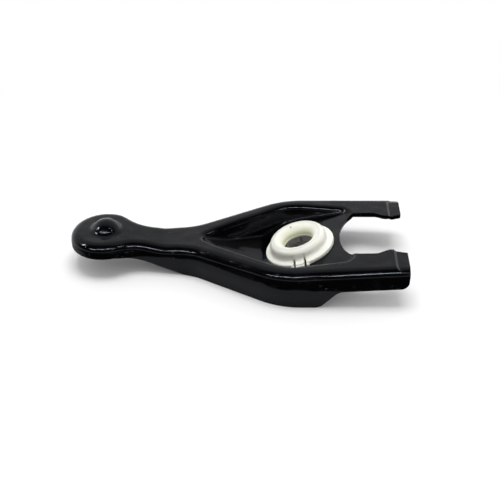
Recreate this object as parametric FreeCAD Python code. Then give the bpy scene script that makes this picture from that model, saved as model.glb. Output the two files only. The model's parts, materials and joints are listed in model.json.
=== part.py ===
import FreeCAD, Part
import math
import os
from FreeCAD import Vector

# Clutch release fork: a lever pressed from one steel blank, with a moulded bush
# snapped into its pan.  Millimetres.  The origin is the centre of the pivot ball,
# +X runs to the prong tips, +Z up.  Values named *_H are heights above the lower
# edge of the lever's walls, which is the surface that the lever lies on.

# --- lever: places along X, from the pivot ball -------------------------------
HEAD_X = -110.9          # centre of the round head
ARM_X = -60.0            # the neck ends and the arms begin to spread
SHOULDER_X = -10.0       # widest place of the lever
TIP_X = 59.0             # ends of the prongs
CROTCH_X = 23.1          # bottom of the gap between the prongs

# --- lever: half widths, radii and angles in plan -----------------------------
HEAD_R = 19.3
HEAD_FALL = 35.0         # degrees, where the head's circle runs out into the neck
NECK_SLOPE = 4.7         # degrees, taper of the neck
ARM_HALF = 13.6
SHOULDER_HALF = 40.7
TIP_HALF = 37.4
NECK_R = 20.0
ARM_R = 30.0
SHOULDER_R = 43.0
GAP_HALF = 20.8          # half of the gap between the prongs
GAP_DEPTH = 10.0         # length of the rounded bottom of the gap
CLAW_HALF = 16.9         # half of the gap between the claws, where it is narrowest
CLAW_TIP_HALF = 19.6     # and at the tips, where they draw back
CLAW_START = 16.0        # a claw begins this far back from the tips
CLAW_PEAK = 9.0          # and is widest this far back
CLAW_R = 5.0

# --- lever: heights -----------------------------------------------------------
PIVOT_H = 15.8           # ball centre
RIM_H = 21.5             # top of the rim beside the pivot
RIM_SLOPE = 3.2          # degrees, the rim rises towards the prongs
HEAD_TOP_H = 21.7
HEAD_DROP_X = -105.0     # the top starts to fall from the head to the neck
NECK_TOP_X = -77.0       # and meets the line of the rim
HEAD_DROP_R = 14.0
HEAD_EDGE_H = 13.3       # lower edge round the head
HEAD_EDGE_X = -103.1     # the lower edge starts to fall
BELLY_X = -64.1          # and reaches the surface that the lever lies on
BELLY_END_X = 11.8
PRONG_EDGE_X = 21.7
PRONG_EDGE_H = 10.3      # lower edge where the prongs begin
EDGE_BEND_R = 7.0
WALL_CORNER_R = 4.5      # lower corner of the wall at each tip
TIP_STEP = 1.0           # the tips are joggled down by this much
TIP_STEP_X = 51.5        # the joggle begins
TIP_STEP_RUN = 1.6       # length of the joggle

# --- lever: sheet and bends ---------------------------------------------------
SHEET = 2.5
RIM_R = 5.0              # outer bend between rim and side wall
PAN_RIM_R = 3.2          # bend from the rim into the pan
KNOB_X = -110.0          # ball seat pressed up out of the head
KNOB_R = 8.6
KNOB_H = 18.8            # height of its centre
KNOB_FOOT_R = 3.5

# --- pan between the arms -----------------------------------------------------
PAN_NOSE_X = -57.9
PAN_FLANK_X = -47.0
PAN_FLANK_HALF = 8.5
PAN_SHOULDER_X = -6.5
PAN_SHOULDER_HALF = 32.3
PAN_END_X = 29.5
PAN_END_HALF = 25.4
PAN_NOSE_R = 5.0
PAN_FLANK_R = 30.0
PAN_SHOULDER_R = 26.0
PAN_END_R = 7.0
PAN_DRAFT = 9.0          # degrees, slope of the pan's walls
PAN_KNEE_X = -43.0
PAN_KNEE_H = 10.0
PAN_KNEE_R = 40.0
PAN_CREASE_X = -21.0     # lowest line of the pan
PAN_CREASE_R = 3.0
PAN_DEPTH = 4.0          # its walls are drawn this far past its lowest line
PAN_FLOOR_R = 1.5        # bend between the pan's floor and walls
SEAT_TILT = 17.2         # degrees, the bush's seat rises towards the prongs
SEAT_DROP = 3.3          # seat below the ball centre, along the bush's axis

# --- bush: radii, and heights along its axis from the ball centre -------------
BALL_R = 9.0             # the ball's widest part sits in a groove
GROOVE_HALF = 1.0        # half the height of that groove
MOUTH_R = 8.5            # lips above and below the groove
MOUTH_BEND_R = 5.2       # the mouth is rounded up to the crest
CREST_RISE = 5.1
BODY_R = 16.3
SHOULDER_BEND_R = 3.4
FLANGE_R = 19.9
FLANGE_T = 2.0
FLANGE_EDGE_R = 0.8
FLANGE_FOOT_R = 1.4
SPIGOT_R = 13.5          # goes down through the hole in the pan
SPIGOT_FIT = 0.15        # clearance between spigot and hole
SPIGOT_WALL = 1.0        # at the lower end, where the hole opens out
LIP_OUT = 0.7            # the snap lip stands out past the spigot
LIP_GAP = 0.2            # clearance between the lip and the pan
LIP_T = 1.6
FINGER_GAPS = 6          # cuts that part the spigot into snap fingers
FINGER_GAP_W = 2.4
BUSH_TURN = 1.0          # degrees, the bush is snapped in a little turned
TAB_W = 4.8              # spring tabs in the flange, one on each side
TAB_SLIT_W = 1.2         # slits that free a tab
TAB_SLIT_IN_R = 14.0
TAB_SLIT_RISE = 0.6      # a slit ends this far above the flange
TAB_LINE_R = 15.9        # above it a shallow line runs on up the body
LUG_W = 10.4             # thin lug under each tab
LUG_R = 20.9
LUG_T = 1.0

REACH = 100.0            # how far cutting shapes run past the lever
SPARE = 1.0              # a cut starts this far outside the face that it opens


def up(height):
    """Z of a height above the surface that the lever lies on."""
    return height - PIVOT_H


def loop(corners, inset=0.0):
    """Face through anticlockwise (a, b, radius) corners, drawn in by inset.

    Each corner becomes a tangent arc; a corner of radius 0 stays sharp.
    """
    count = len(corners)
    points = [Vector(a, b, 0) for a, b, radius in corners]
    ways = [(points[(i + 1) % count] - points[i]).normalize() for i in range(count)]
    arcs = []
    for i, (a, b, radius) in enumerate(corners):
        before, after = ways[i - 1], ways[i]
        left_before = Vector(-before.y, before.x, 0)
        left_after = Vector(-after.y, after.x, 0)
        shift = (left_before + left_after) * (inset / (1 + left_before.dot(left_after)))
        corner = points[i] + shift
        turn = before.getAngle(after)
        if radius == 0 or turn < 1e-6:
            arcs.append((corner, None, corner))
            continue
        convex = before.cross(after).z > 0
        size = radius - inset if convex else radius + inset
        reach = size * math.tan(turn / 2)
        inward = (after - before).normalize()
        middle = corner + inward * (size / math.cos(turn / 2) - size)
        arcs.append((corner - before * reach, middle, corner + after * reach))
    edges = []
    for i, (first, middle, last) in enumerate(arcs):
        if middle is not None:
            edges.append(Part.Arc(first, middle, last).toShape())
        following = arcs[(i + 1) % count][0]
        if (following - last).Length > 1e-4:
            edges.append(Part.LineSegment(last, following).toShape())
    return Part.Face(Part.Wire(edges))


def both_sides(half):
    """Corners of a loop that is symmetric about the X axis, from its lower half."""
    return half + [(a, -b, radius) for a, b, radius in reversed(half) if b != 0]


def standing(face, low, high):
    """A plan face raised from height low to height high."""
    face = face.copy()
    face.translate(Vector(0, 0, low))
    return face.extrude(Vector(0, 0, high - low))


def across(face):
    """A side-view face, drawn in X and Z, made into a bar across the lever."""
    face = face.copy()
    face.rotate(Vector(0, 0, 0), Vector(1, 0, 0), 90)
    face.translate(Vector(0, REACH, 0))
    return face.extrude(Vector(0, -2 * REACH, 0))


def rim_z(x):
    """Height of the rim's top line at x."""
    return up(RIM_H) + x * math.tan(math.radians(RIM_SLOPE))


def seat_z(x):
    """Height of the pan's seat plane at x."""
    tilt = math.radians(SEAT_TILT)
    return x * math.tan(tilt) - SEAT_DROP / math.cos(tilt)


def lever_plan(end_x):
    """Outer plan corners of the lever, with its prongs ending at end_x."""
    fall = math.radians(HEAD_FALL)
    taper = math.tan(math.radians(NECK_SLOPE))
    crest_x = HEAD_X + HEAD_R * math.tan(fall / 2)
    # the falling line off the head meets the neck's line
    neck_x = ((HEAD_R + crest_x * math.tan(fall)) - (ARM_HALF - ARM_X * taper)) / (
        math.tan(fall) + taper)
    neck_half = ARM_HALF + (neck_x - ARM_X) * taper
    slope = (TIP_HALF - SHOULDER_HALF) / (TIP_X - SHOULDER_X)
    end_half = SHOULDER_HALF + (end_x - SHOULDER_X) * slope
    half = [(HEAD_X - HEAD_R, -HEAD_R, HEAD_R), (crest_x, -HEAD_R, HEAD_R),
            (neck_x, -neck_half, NECK_R), (ARM_X, -ARM_HALF, ARM_R),
            (SHOULDER_X, -SHOULDER_HALF, SHOULDER_R), (end_x, -end_half, 0)]
    return both_sides(half)


def lever_side(end_x, inner):
    """Side view of the lever; the inner form runs on below the walls."""
    left = HEAD_X - HEAD_R - REACH
    top = [(end_x, rim_z(end_x), 0), (NECK_TOP_X, rim_z(NECK_TOP_X), HEAD_DROP_R),
           (HEAD_DROP_X, up(HEAD_TOP_H), HEAD_DROP_R), (left, up(HEAD_TOP_H), 0)]
    if inner:
        return [(left, up(-REACH), 0), (end_x, up(-REACH), 0)] + top
    slope = math.tan(math.radians(RIM_SLOPE))
    end_h = PRONG_EDGE_H + (end_x - PRONG_EDGE_X) * slope
    bottom = [(left, up(HEAD_EDGE_H), 0), (HEAD_EDGE_X, up(HEAD_EDGE_H), EDGE_BEND_R),
              (BELLY_X, up(0), EDGE_BEND_R), (BELLY_END_X, up(0), EDGE_BEND_R),
              (PRONG_EDGE_X, up(PRONG_EDGE_H), EDGE_BEND_R), (end_x, up(end_h), WALL_CORNER_R)]
    return bottom + top


def pan_form(grow):
    """What the punch presses down between the arms, grown by grow on every side."""
    half = [(PAN_NOSE_X, 0, PAN_NOSE_R), (PAN_FLANK_X, -PAN_FLANK_HALF, PAN_FLANK_R),
            (PAN_SHOULDER_X, -PAN_SHOULDER_HALF, PAN_SHOULDER_R),
            (PAN_END_X, -PAN_END_HALF, PAN_END_R)]
    corners = both_sides(half)
    # the outline holds at the rim's height beside the pivot and leans in below it
    low = seat_z(PAN_CREASE_X) - PAN_DEPTH
    high = rim_z(PAN_END_X) + SPARE + grow
    lean = math.tan(math.radians(PAN_DRAFT))
    wires = []
    for z in (low, high):
        face = loop(corners, lean * (up(RIM_H) - z) - grow)
        face.translate(Vector(0, 0, z))
        wires.append(face.OuterWire)
    walls = Part.makeLoft(wires, True, True)
    right = PAN_END_X + REACH
    floor = [(PAN_NOSE_X, rim_z(PAN_NOSE_X), 0), (PAN_KNEE_X, up(PAN_KNEE_H), PAN_KNEE_R),
             (PAN_CREASE_X, seat_z(PAN_CREASE_X), PAN_CREASE_R), (right, seat_z(right), 0),
             (right, REACH, 0), (PAN_NOSE_X - REACH, REACH, 0),
             (PAN_NOSE_X - REACH, rim_z(PAN_NOSE_X), 0)]
    form = walls.common(across(loop(floor, -grow)))

    def floor_edge(edge):
        middle = edge.valueAt((edge.FirstParameter + edge.LastParameter) / 2)
        return middle.z < rim_z(middle.x) - SPARE
    return form.makeFillet(PAN_FLOOR_R + grow, seams(form, floor_edge))


def upright(face):
    """True for a wall: a face whose normal is nearly level."""
    u0, u1, v0, v1 = face.ParameterRange
    return abs(face.normalAt((u0 + u1) / 2, (v0 + v1) / 2).z) < 0.3


def seams(shape, wanted):
    """Edges where a wall meets a face that is no wall, if wanted(edge) allows them."""
    found = []
    for edge in shape.Edges:
        sides = shape.ancestorsOfType(edge, Part.Face)
        if len(sides) == 2 and upright(sides[0]) != upright(sides[1]) and wanted(edge):
            found.append(edge)
    return found


def knob(inset):
    """Ball pressed up out of the head."""
    return Part.makeSphere(KNOB_R - inset, Vector(KNOB_X, 0, up(KNOB_H)))


def knob_foot(body):
    """Edges where the knob meets the head."""
    found = []
    for edge in body.Edges:
        balls = [isinstance(side.Surface, Part.Sphere)
                 for side in body.ancestorsOfType(edge, Part.Face)]
        if len(balls) == 2 and any(balls) and not all(balls):
            found.append(edge)
    return found


def skin(inset):
    """Solid whose faces are the pressing's outer faces (0) or inner faces (SHEET)."""
    inner = inset > 0
    end_x = TIP_X + (REACH if inner else 0)
    plan = standing(loop(lever_plan(end_x), inset), -REACH, REACH)
    side = across(loop(lever_side(end_x, inner), inset))
    body = plan.common(side)

    def outer_bend(edge):
        box = edge.BoundBox
        return box.ZMin > up(HEAD_EDGE_H + SPARE) and box.XMin < end_x - SPARE
    body = body.makeFillet(RIM_R - inset, seams(body, outer_bend))
    body = joggled(body, inset, end_x)

    body = body.fuse(knob(inset))
    body = body.makeFillet(KNOB_FOOT_R, knob_foot(body))

    body = body.cut(pan_form(inset))

    def pan_rim(edge):
        middle = edge.valueAt((edge.FirstParameter + edge.LastParameter) / 2)
        return (PAN_NOSE_X - SPARE - inset < middle.x < PAN_END_X + SPARE + inset
                and abs(middle.z - rim_z(middle.x) + inset) < 0.1
                and abs(middle.y) < PAN_SHOULDER_HALF + inset)
    return body.makeFillet(PAN_RIM_R - inset, seams(body, pan_rim))


def joggled(body, inset, end_x):
    """The tips past the joggle lie lower than the rest by one step."""
    lowered = body.copy()
    lowered.translate(Vector(0, 0, -TIP_STEP))
    start = TIP_STEP_X + inset * math.tan(math.atan2(TIP_STEP, TIP_STEP_RUN) / 2)
    top = rim_z(start) - inset
    past = [(start, top, 0), (start + TIP_STEP_RUN * 2, top - TIP_STEP * 2, 0),
            (end_x + SPARE, top - TIP_STEP * 2, 0), (end_x + SPARE, REACH, 0), (start, REACH, 0)]
    shaved = body.cut(lowered).common(across(loop(past)))
    return body.cut(shaved)


def gap_form():
    """Gap between the prongs, with the claws left standing at the tips."""
    bottom_x = CROTCH_X + GAP_DEPTH
    half = [(bottom_x, -GAP_HALF, 0), (TIP_X - CLAW_START, -GAP_HALF, CLAW_R),
            (TIP_X - CLAW_PEAK, -CLAW_HALF, CLAW_R), (TIP_X, -CLAW_TIP_HALF, 0),
            (TIP_X + SPARE, -CLAW_TIP_HALF, 0)]
    slot = standing(loop(both_sides(half)), -REACH, REACH)
    curve = Part.Ellipse(Vector(bottom_x, GAP_HALF, 0), Vector(CROTCH_X, 0, 0),
                         Vector(bottom_x, 0, 0))
    bottom = standing(Part.Face(Part.Wire([curve.toShape()])), -REACH, REACH)
    return slot.fuse(bottom)


def on_bush_axis(shape):
    """Tilts a shape made about +Z onto the bush's axis."""
    shape.rotate(Vector(0, 0, 0), Vector(0, 1, 0), -SEAT_TILT)
    return shape


def lever():
    outer = skin(0.0)
    inner = skin(SHEET)
    body = outer.cut(inner).cut(gap_form())
    hole = Part.makeCylinder(SPIGOT_R + SPIGOT_FIT, REACH, Vector(0, 0, -REACH / 2))
    return body.cut(on_bush_axis(hole))


def bush():
    """Moulded bush, turned about its own axis and then tilted onto the seat."""
    seat = -SEAT_DROP
    top = seat + FLANGE_T
    lip_top = seat - SHEET - LIP_GAP
    lip_low = lip_top - LIP_T
    end_r = SPIGOT_R - LIP_OUT
    section = [(end_r - SPIGOT_WALL, lip_low, 0), (end_r, lip_low, 0),
               (SPIGOT_R + LIP_OUT, lip_top, 0), (SPIGOT_R, lip_top, 0),
               (SPIGOT_R, seat, 0), (FLANGE_R, seat, 0), (FLANGE_R, top, FLANGE_EDGE_R),
               (BODY_R, top, FLANGE_FOOT_R), (BODY_R, CREST_RISE, SHOULDER_BEND_R),
               (MOUTH_R, CREST_RISE, MOUTH_BEND_R), (MOUTH_R, -GROOVE_HALF, 0)]
    face = loop(section)
    face.rotate(Vector(0, 0, 0), Vector(1, 0, 0), 90)
    body = face.revolve(Vector(0, 0, 0), Vector(0, 0, 1), 360)
    lug = Part.makeBox(LUG_W, 2 * LUG_R, LUG_T, Vector(-LUG_W / 2, -LUG_R, seat))
    lug = lug.cut(Part.makeCylinder(BODY_R, REACH, Vector(0, 0, -REACH / 2)))
    body = body.fuse(lug).removeSplitter()
    groove = Part.makeCylinder(BALL_R, 2 * GROOVE_HALF, Vector(0, 0, -GROOVE_HALF))
    body = body.cut(groove.common(Part.makeSphere(BALL_R)))

    cuts = []
    for i in range(FINGER_GAPS):
        cut = Part.makeBox(REACH, FINGER_GAP_W, seat - lip_low + SPARE,
                           Vector(BALL_R, -FINGER_GAP_W / 2, lip_low - SPARE))
        cut.rotate(Vector(0, 0, 0), Vector(0, 0, 1), (i + 0.5) * 360.0 / FINGER_GAPS)
        cuts.append(cut)
    for middle in (-(TAB_W + TAB_SLIT_W) / 2, (TAB_W + TAB_SLIT_W) / 2):
        for in_r, end in ((TAB_SLIT_IN_R, top + TAB_SLIT_RISE), (TAB_LINE_R, CREST_RISE)):
            for back in (in_r, -in_r - REACH):
                cuts.append(Part.makeBox(TAB_SLIT_W, REACH, end - seat,
                                         Vector(middle - TAB_SLIT_W / 2, back, seat)))
    body = body.cut(cuts)
    body.rotate(Vector(0, 0, 0), Vector(0, 0, 1), BUSH_TURN)
    return on_bush_axis(body)


if __name__ == "__main__":
    os.makedirs("parts", exist_ok=True)
    nodes = {"fork_lever": lever(), "pivot_bush": bush()}
    for name, shape in nodes.items():
        solid = shape.Solids[0]
        solid.exportStep("parts/" + name + ".step")
        print(name, shape.isValid(), len(shape.Solids), len(shape.Faces), round(solid.Volume))
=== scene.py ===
# %% [markdown]
# # A clutch release fork and its pivot bush
#
# The fork is one pressed steel lever with a round end that the slave cylinder pushes, and two prongs that press the
# release bearing. A nylon bush snapped into its floor turns on a ball stud. Both are solids of the CAD model, so this
# lesson loads them as a fixed frame and gives them their real finishes: wet-looking black dip paint and milky nylon.
# All lengths are in metres, in the CAD model's own frame.

# %% Load the solids
import json
import math

import bpy
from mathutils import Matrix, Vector


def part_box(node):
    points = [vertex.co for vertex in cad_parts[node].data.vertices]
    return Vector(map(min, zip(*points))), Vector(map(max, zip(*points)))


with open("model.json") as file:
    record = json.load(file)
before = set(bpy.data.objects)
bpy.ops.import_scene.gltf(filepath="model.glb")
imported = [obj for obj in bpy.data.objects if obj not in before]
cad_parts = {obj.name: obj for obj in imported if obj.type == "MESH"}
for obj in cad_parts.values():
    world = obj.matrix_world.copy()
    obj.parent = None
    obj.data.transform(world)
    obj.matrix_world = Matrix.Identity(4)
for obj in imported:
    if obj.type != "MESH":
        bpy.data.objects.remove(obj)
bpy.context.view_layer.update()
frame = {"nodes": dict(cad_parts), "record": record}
lever = frame["nodes"]["fork_lever"]
bush = frame["nodes"]["pivot_bush"]

# %% [markdown]
# ## The places that the rest is measured from
#
# The lever lies on a table as it would on a bench, so the table is at the lowest point of its box, less a hair of
# 0.05 mm that keeps the two surfaces from flickering through each other. The bush is pressed in along an axis that
# leans towards the round end. Its direction is needed wherever a finish changes with the distance from that axis, and
# it comes from the record's own mount, not from a number written twice.

# %% Table height and the bush's axis
HAIR = 0.00005
TABLE_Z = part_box("fork_lever")[0].z - HAIR
SEAT = next(m for m in frame["record"]["mounts"] if m["name"] == "pivot_seat")
BALL_CENTRE = Vector(SEAT["pos_m"])
BUSH_AXIS = Vector(SEAT["axis"])
print("table at", round(TABLE_Z, 5), "bush axis", [round(v, 3) for v in BUSH_AXIS])


# %% [markdown]
# ## A small tool for writing shader maths
#
# A node material is a sum of little boxes. Written one box at a time, a formula such as `0.2 + 0.1 * noise` takes a
# page. `Num` wraps the socket of a number and overloads the arithmetic signs, so that the formula itself adds its Math
# nodes. The reflected forms, such as `__rsub__`, are what make `1 - mask` work as well as `mask - 1`.

# %% Num: a socket that can be added and multiplied
class Num:
    def __init__(self, finish, socket):
        self.finish, self.socket = finish, socket

    def math(self, operation, first, second=0.0):
        made = self.finish.node("ShaderNodeMath", {"operation": operation}, {0: first, 1: second})
        return Num(self.finish, made.outputs[0])

    def __add__(self, other):
        return self.math("ADD", self, other)

    def __radd__(self, other):
        return self.math("ADD", other, self)

    def __sub__(self, other):
        return self.math("SUBTRACT", self, other)

    def __rsub__(self, other):
        return self.math("SUBTRACT", other, self)

    def __mul__(self, other):
        return self.math("MULTIPLY", self, other)

    def __rmul__(self, other):
        return self.math("MULTIPLY", other, self)

    def __pow__(self, other):
        return self.math("POWER", self, other)


# %% [markdown]
# ## One method for every other node
#
# `Finish` is a material that is being mixed. Its `node` takes a node's type, then its settings, because a setting can
# change which sockets there are, and then what goes into each socket: a value, a `Num` or another node's socket. The
# room around the object is mixed in the same way, with the world in place of a material.

# %% Finish: a material under construction
class Finish:
    def __init__(self, name, world=None):
        self.owner = world or bpy.data.materials.new(name)
        self.output = "ShaderNodeOutputWorld" if world else "ShaderNodeOutputMaterial"
        self.owner.use_nodes = True
        self.tree = self.owner.node_tree
        self.tree.nodes.clear()
        self.coordinates = self.node("ShaderNodeTexCoord")
        self.place = self.coordinates.outputs["Object"]

    def node(self, kind, settings=None, sockets=None):
        made = self.tree.nodes.new(kind)
        for name, value in (settings or {}).items():
            setattr(made, name, value)
        for key, value in (sockets or {}).items():
            socket = made.inputs[key] if isinstance(key, int) else self.find(made, key)
            if isinstance(value, Num):
                self.tree.links.new(value.socket, socket)
            elif isinstance(value, bpy.types.NodeSocket):
                self.tree.links.new(value, socket)
            else:
                socket.default_value = value
        return made

    @staticmethod
    def find(made, key):
        return next(s for s in made.inputs if s.identifier == key or s.name == key)

    def noise(self, size, detail=2.0, roughness=0.5):
        sockets = {"Vector": self.place, "Scale": 1.0 / size, "Detail": detail, "Roughness": roughness}
        return Num(self, self.node("ShaderNodeTexNoise", {}, sockets).outputs["Fac"])

    def step(self, value, low, high):
        sockets = {"Value": value, "From Min": low, "From Max": high}
        made = self.node("ShaderNodeMapRange", {"interpolation_type": "SMOOTHSTEP"}, sockets)
        return Num(self, made.outputs["Result"])

    def blend(self, mask, under, over):
        sockets = {"Factor_Float": mask, "A_Color": under, "B_Color": over}
        made = self.node("ShaderNodeMix", {"data_type": "RGBA"}, sockets)
        return next(s for s in made.outputs if s.identifier == "Result_Color")

    def bump(self, height, depth, normal=None):
        sockets = {"Height": height, "Distance": depth, "Strength": 1.0}
        if normal is not None:
            sockets["Normal"] = normal
        return self.node("ShaderNodeBump", {}, sockets).outputs["Normal"]

    def vector(self, operation, first, second=None):
        sockets = {0: first} if second is None else {0: first, 1: second}
        return self.node("ShaderNodeVectorMath", {"operation": operation}, sockets)

    def part(self, vector, letter):
        return Num(self, self.node("ShaderNodeSeparateXYZ", {}, {"Vector": vector}).outputs[letter])

    def close(self, shader):
        self.node(self.output, {}, {"Surface": shader.outputs[0]})
        print(self.owner.name, "has", len(self.tree.nodes), "nodes")
        return self.owner


# %% [markdown]
# ## Black dip paint
#
# The pressed steel is dipped in black paint and baked. The coat is glossy but never flat: it keeps the long, shallow
# waves of the pressing, has a fine orange peel, and carries pin-head nibs of dust. All three are heights, so they go
# into Bump nodes of different size, which break up the long highlights along the bends. Paint pulls back from cut
# edges, where a Bevel node finds the places whose rounded normal differs from the true one: there the coat is thinner,
# greyer and a little rougher. The drawn walls also lean in above their straight lower flange, by so little that the
# solid keeps them upright: the finish tips their normals up there, so that they mirror the room instead of the table.
# It could also be made with a scanned paint texture, but a rule in nodes has no seams and stays sharp from near by.

# %% Tip the walls' normals
FLANGE_TOP = 0.0115
WALL_LEAN = 0.42


def leaning_walls(f):
    normal = f.node("ShaderNodeNewGeometry").outputs["Normal"]
    up = f.part(normal, "Z")
    high = f.part(f.place, "Z") - TABLE_Z
    wall = 1.0 - f.step(up * up, 0.004, 0.06)
    lean = wall * f.step(high, FLANGE_TOP - 0.005, FLANGE_TOP + 0.002) * WALL_LEAN
    tip = f.node("ShaderNodeCombineXYZ", {}, {"Z": lean}).outputs["Vector"]
    return f.vector("NORMALIZE", f.vector("ADD", normal, tip).outputs["Vector"]).outputs["Vector"]


# %% Mix the paint
WAVE_SIZE, WAVE_DEPTH = 0.013, 0.00060
PEEL_SIZE, PEEL_DEPTH = 0.0032, 0.00003
NIB_SIZE, NIB_DEPTH = 0.0021, 0.00006
EDGE_ROUND = 0.0003
DEEP_BLACK = (0.0012, 0.0012, 0.0015, 1.0)
RUBBED_BLACK = (0.0024, 0.0024, 0.0029, 1.0)
EDGE_GREY = (0.012, 0.012, 0.012, 1.0)
COOL_SHINE = (0.82, 0.89, 1.0, 1.0)


def dip_paint():
    f = Finish("black_dip_paint")
    waves = f.bump(f.noise(WAVE_SIZE, 1.0), WAVE_DEPTH, leaning_walls(f))
    peel = f.bump(f.noise(PEEL_SIZE, 2.0), PEEL_DEPTH, waves)
    nibs = f.step(f.noise(NIB_SIZE, 0.0), 0.74, 0.80)
    skin = f.bump(nibs, NIB_DEPTH, peel)
    rounded = f.node("ShaderNodeBevel", {"samples": 6}, {"Radius": EDGE_ROUND, "Normal": skin}).outputs["Normal"]
    true = f.node("ShaderNodeNewGeometry").outputs["Normal"]
    round_plain = f.node("ShaderNodeBevel", {"samples": 6}, {"Radius": EDGE_ROUND}).outputs["Normal"]
    turned = Num(f, f.vector("DOT_PRODUCT", round_plain, true).outputs["Value"])
    edge = f.step(1.0 - turned, 0.02, 0.22)
    rubbed = f.step(f.noise(0.011, 4.0, 0.6), 0.52, 0.74)
    colour = f.blend(rubbed * 0.5, DEEP_BLACK, RUBBED_BLACK)
    colour = f.blend(edge * 0.2, colour, EDGE_GREY)
    sheen = 0.10 + 0.08 * rubbed + 0.05 * edge + 0.05 * f.noise(0.0009, 3.0)
    sockets = {"Base Color": colour, "Roughness": sheen, "Normal": rounded, "IOR": 1.26, "Specular Tint": COOL_SHINE}
    return f.close(f.node("ShaderNodeBsdfPrincipled", {}, sockets))


lever_paint = dip_paint()

# %% [markdown]
# ## Milky nylon
#
# The bush is moulded in natural nylon. It is warm white and a little see-through. Its mouth is painted yellower, and
# lower down darker, than its crown: a painted tint and painted shade that stand in for light passing through the nylon
# and falling into the mouth. That is a change with the distance from the bush's axis, which a dot product and a length
# give from the record's mount. Faint flow clouds, the satin of the mould and the small dark pip where the gate was cut
# off are what tell moulded nylon from plain white. The pip is a dot and a shallow dimple around a line that runs beside
# the axis. Low inside, a grey ring is painted shade, like the shadowed table under the hole; height and radius pick it
# out.

# %% Height and radius round the bush's axis
def from_axis(f, point):
    """Height along the bush's axis and squared distance from it, both measured from a point."""
    way = f.vector("SUBTRACT", f.place, point).outputs["Vector"]
    height = Num(f, f.vector("DOT_PRODUCT", way, BUSH_AXIS).outputs["Value"])
    length = Num(f, f.vector("LENGTH", way).outputs["Value"])
    return height, length * length - height * height


# %% Mix the nylon
MOUTH_R = 0.0085
GATE_PIP = Vector((-0.0047, 0.0105, 0.0031))
PIP_R = 0.0005
NYLON_DIM = (0.86, 0.86, 0.77, 1.0)
NYLON_CLEAR = (0.94, 0.94, 0.87, 1.0)
# Painted light: the yellow mouth tint and the darker deep yellow stand in for light through the nylon and shade inside
# it.
MOUTH_PAINTED_TINT = (0.88, 0.90, 0.68, 1.0)
DEEP_PAINTED_SHADE = (0.74, 0.76, 0.50, 1.0)
# Painted shade: the grey of a ring low inside the mouth.
PAINTED_HOLE_SHADE = (0.13, 0.125, 0.13, 1.0)
PIP_BROWN = (0.20, 0.19, 0.15, 1.0)


def milky_nylon():
    f = Finish("milky_nylon")
    height, radius_squared = from_axis(f, BALL_CENTRE)
    radius = radius_squared**0.5
    # Painted tint and painted shade: yellower within the mouth, and a darker yellow lower down in it.
    painted_tint_mask = 1.0 - f.step(radius, MOUTH_R, MOUTH_R + 0.0035)
    deep = painted_tint_mask * (1.0 - f.step(height, -0.002, 0.0055))
    clouds = f.noise(0.006, 3.0)
    colour = f.blend(clouds, NYLON_DIM, NYLON_CLEAR)
    colour = f.blend(painted_tint_mask * 0.5, colour, MOUTH_PAINTED_TINT)
    colour = f.blend(deep * 0.6, colour, DEEP_PAINTED_SHADE)
    # Painted shade: a grey ring low inside, like the shadowed table seen through the hole.
    painted_shade_ring = (1.0 - f.step(height, -0.0026, -0.0012)) * (1.0 - f.step(radius, 0.0125, 0.0130))
    colour = f.blend(painted_shade_ring * 0.9, colour, PAINTED_HOLE_SHADE)
    _, off_squared = from_axis(f, GATE_PIP)
    dot = 1.0 - f.step(off_squared, PIP_R**2 * 0.4, PIP_R**2 * 1.6)
    pip = dot * f.step(height, 0.0025, 0.0035)
    colour = f.blend(pip * 0.8, colour, PIP_BROWN)
    satin = f.bump(f.noise(0.0005, 2.0) - 4.0 * pip, 0.000012)
    sockets = {
        "Base Color": colour,
        "Roughness": 0.36 + 0.12 * clouds + 0.06 * f.noise(0.0011, 2.0),
        "Normal": f.bump(clouds, 0.00006, satin),
        "IOR": 1.50,
        "Subsurface Weight": 0.25,
        "Subsurface Radius": (0.0020, 0.0017, 0.0010),
        "Subsurface Scale": 1.0,
    }
    return f.close(f.node("ShaderNodeBsdfPrincipled", {}, sockets))


bush_nylon = milky_nylon()


# %% [markdown]
# ## Dressing the solids
#
# The solids keep their shapes. A finish is put in place of whatever their material slots hold.

# %% Give each solid its finish
for node, material in ((lever, lever_paint), (bush, bush_nylon)):
    for slot in node.material_slots:
        slot.material = material
    print(node.name, len(node.data.polygons), "faces,", len(node.material_slots), "slot, now", material.name)


# %% [markdown]
# ## A plain white table
#
# The table is one large sheet of white paper. In a studio it would curve up to a wall far behind; here the sheet is
# flat, and away from the object it turns into an even white for rays that come straight from the camera. Near the
# object it is plain paper, which keeps the shadow. From below it is clear, so that the underside can be looked at. It
# isn't part of the object.

# %% The table
TABLE_REACH = 6.0
FADE_FROM, FADE_TO = 0.16, 0.34
WHITE = (1.0, 1.0, 1.0, 1.0)


def table_finish():
    f = Finish("white_table")
    grain = f.noise(0.004, 3.0)
    sockets = {
        "Base Color": WHITE,
        "Roughness": 0.6 + 0.2 * grain,
        "Normal": f.bump(grain, 0.00002),
        "Specular IOR Level": 0.2,
    }
    paper = f.node("ShaderNodeBsdfPrincipled", {}, sockets)
    away = Num(f, f.vector("LENGTH", f.place).outputs["Value"])
    seen = Num(f, f.node("ShaderNodeLightPath").outputs["Is Camera Ray"])
    white = f.node("ShaderNodeEmission", {}, {"Color": WHITE, "Strength": 1.0})
    fade = f.step(away, FADE_FROM, FADE_TO) * seen
    above = f.node("ShaderNodeMixShader", {}, {0: fade, 1: paper.outputs[0], 2: white.outputs[0]})
    from_below = f.node("ShaderNodeNewGeometry").outputs["Backfacing"]
    clear = f.node("ShaderNodeBsdfTransparent")
    return f.close(f.node("ShaderNodeMixShader", {}, {0: from_below, 1: above.outputs[0], 2: clear.outputs[0]}))


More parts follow.
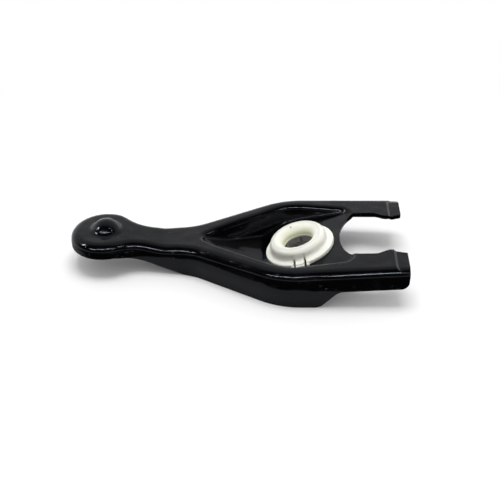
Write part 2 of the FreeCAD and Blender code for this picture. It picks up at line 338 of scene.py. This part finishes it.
def table_sheet():
    mesh = bpy.data.meshes.new("table")
    r = TABLE_REACH
    corners = [(-r, -r, TABLE_Z), (r, -r, TABLE_Z), (r, r, TABLE_Z), (-r, r, TABLE_Z)]
    mesh.from_pydata(corners, [], [(0, 1, 2, 3)])
    mesh.materials.append(table_finish())
    made = bpy.data.objects.new("table", mesh)
    bpy.context.scene.collection.objects.link(made)
    print("table", 2 * TABLE_REACH, "m wide")


table_sheet()

# %% [markdown]
# ## The room
#
# Gloss paint shows the room more than itself. Behind the table stands a pale wall that fades upwards, and in front,
# where the viewer stands, it is dark, which is what draws the near walls of the lever so black. The world's own
# direction says where a ray goes. Rays straight from the camera see plain white.

# %% World
def room():
    world = bpy.data.worlds.new("studio")
    bpy.context.scene.world = world
    f = Finish("studio", world)
    way = f.coordinates.outputs["Generated"]
    back, up = f.part(way, "Y"), f.part(way, "Z")
    behind = f.step(back, -0.25, 0.30)
    low = 1.0 - f.step(up, 0.10, 0.70)
    path = f.node("ShaderNodeLightPath")
    seen, mirrored = Num(f, path.outputs["Is Camera Ray"]), Num(f, path.outputs["Is Glossy Ray"])
    spread = (1.0 - mirrored) * (0.58 + 0.20 * behind)
    shine = mirrored * (0.005 + behind * (1.00 + 0.15 * low))
    strength = seen + (1.0 - seen) * (spread + shine)
    f.close(f.node("ShaderNodeBackground", {}, {"Color": WHITE, "Strength": strength}))


room()


# %% [markdown]
# ## A soft box and a row of windows
#
# A lamp's power says little about how it looks in a reflection, so each is given by its brightness, which is its power
# over its area and pi. The box over the table lights it and drops the shadows, and isn't mirrored in the paint. The row
# of small windows in front and the one on each side are only mirrored: they draw the thin, broken bright line along
# the near bends and the sparks on the knob.

# %% Lamps
def soft_box(name, place, aim, wide, deep, brightness, mirrored):
    data = bpy.data.lights.new(name, "AREA")
    data.shape, data.size, data.size_y = "RECTANGLE", wide, deep
    data.energy = brightness * math.pi * wide * deep
    made = bpy.data.objects.new(name, data)
    bpy.context.scene.collection.objects.link(made)
    made.location = Vector(place)
    made.rotation_mode = "QUATERNION"
    made.rotation_quaternion = (Vector(aim) - Vector(place)).to_track_quat("-Z", "Y")
    made.visible_glossy, made.visible_diffuse = mirrored, not mirrored
    print(name, round(data.energy, 2), "W")


MIDDLE = (-0.02, 0.0, 0.0)
WINDOWS = 7
WINDOW_STEP = 0.30
soft_box("overhead_box", (-0.02, 0.06, 1.20), MIDDLE, 0.72, 0.56, 5.6, mirrored=False)
for i in range(WINDOWS):
    soft_box(f"front_window_{i}", (-1.0 + WINDOW_STEP * i, -1.02, 0.76), MIDDLE, 0.20, 0.06, 85.0, mirrored=True)
soft_box("left_window", (-1.15, -0.12, 0.80), MIDDLE, 0.12, 0.34, 75.0, mirrored=True)
soft_box("right_window", (1.00, -0.45, 0.80), MIDDLE, 0.10, 0.06, 60.0, mirrored=True)

# %% [markdown]
# ## The camera
#
# The camera looks down at the lever from its near side, about a third of a right angle above the table and almost
# square on, from half a metre.

# %% Camera
TARGET = Vector((-0.027708, 0.0, -0.006320))
DISTANCE = 0.489286
ELEVATION = math.radians(34.393)
AZIMUTH = math.radians(2.71)


def camera():
    data = bpy.data.cameras.new("camera")
    data.lens, data.sensor_width = 61.2, 36.0
    data.clip_start, data.clip_end = 0.01, 50.0
    made = bpy.data.objects.new("camera", data)
    bpy.context.scene.collection.objects.link(made)
    level = math.cos(ELEVATION)
    back = Vector((level * math.sin(AZIMUTH), -level * math.cos(AZIMUTH), math.sin(ELEVATION)))
    made.location = TARGET + back * DISTANCE
    made.rotation_mode = "QUATERNION"
    made.rotation_quaternion = (-back).to_track_quat("-Z", "Y")
    bpy.context.scene.camera = made
    print("camera at", [round(v, 3) for v in made.location])


camera()
bpy.context.scene.view_settings.view_transform = "Standard"
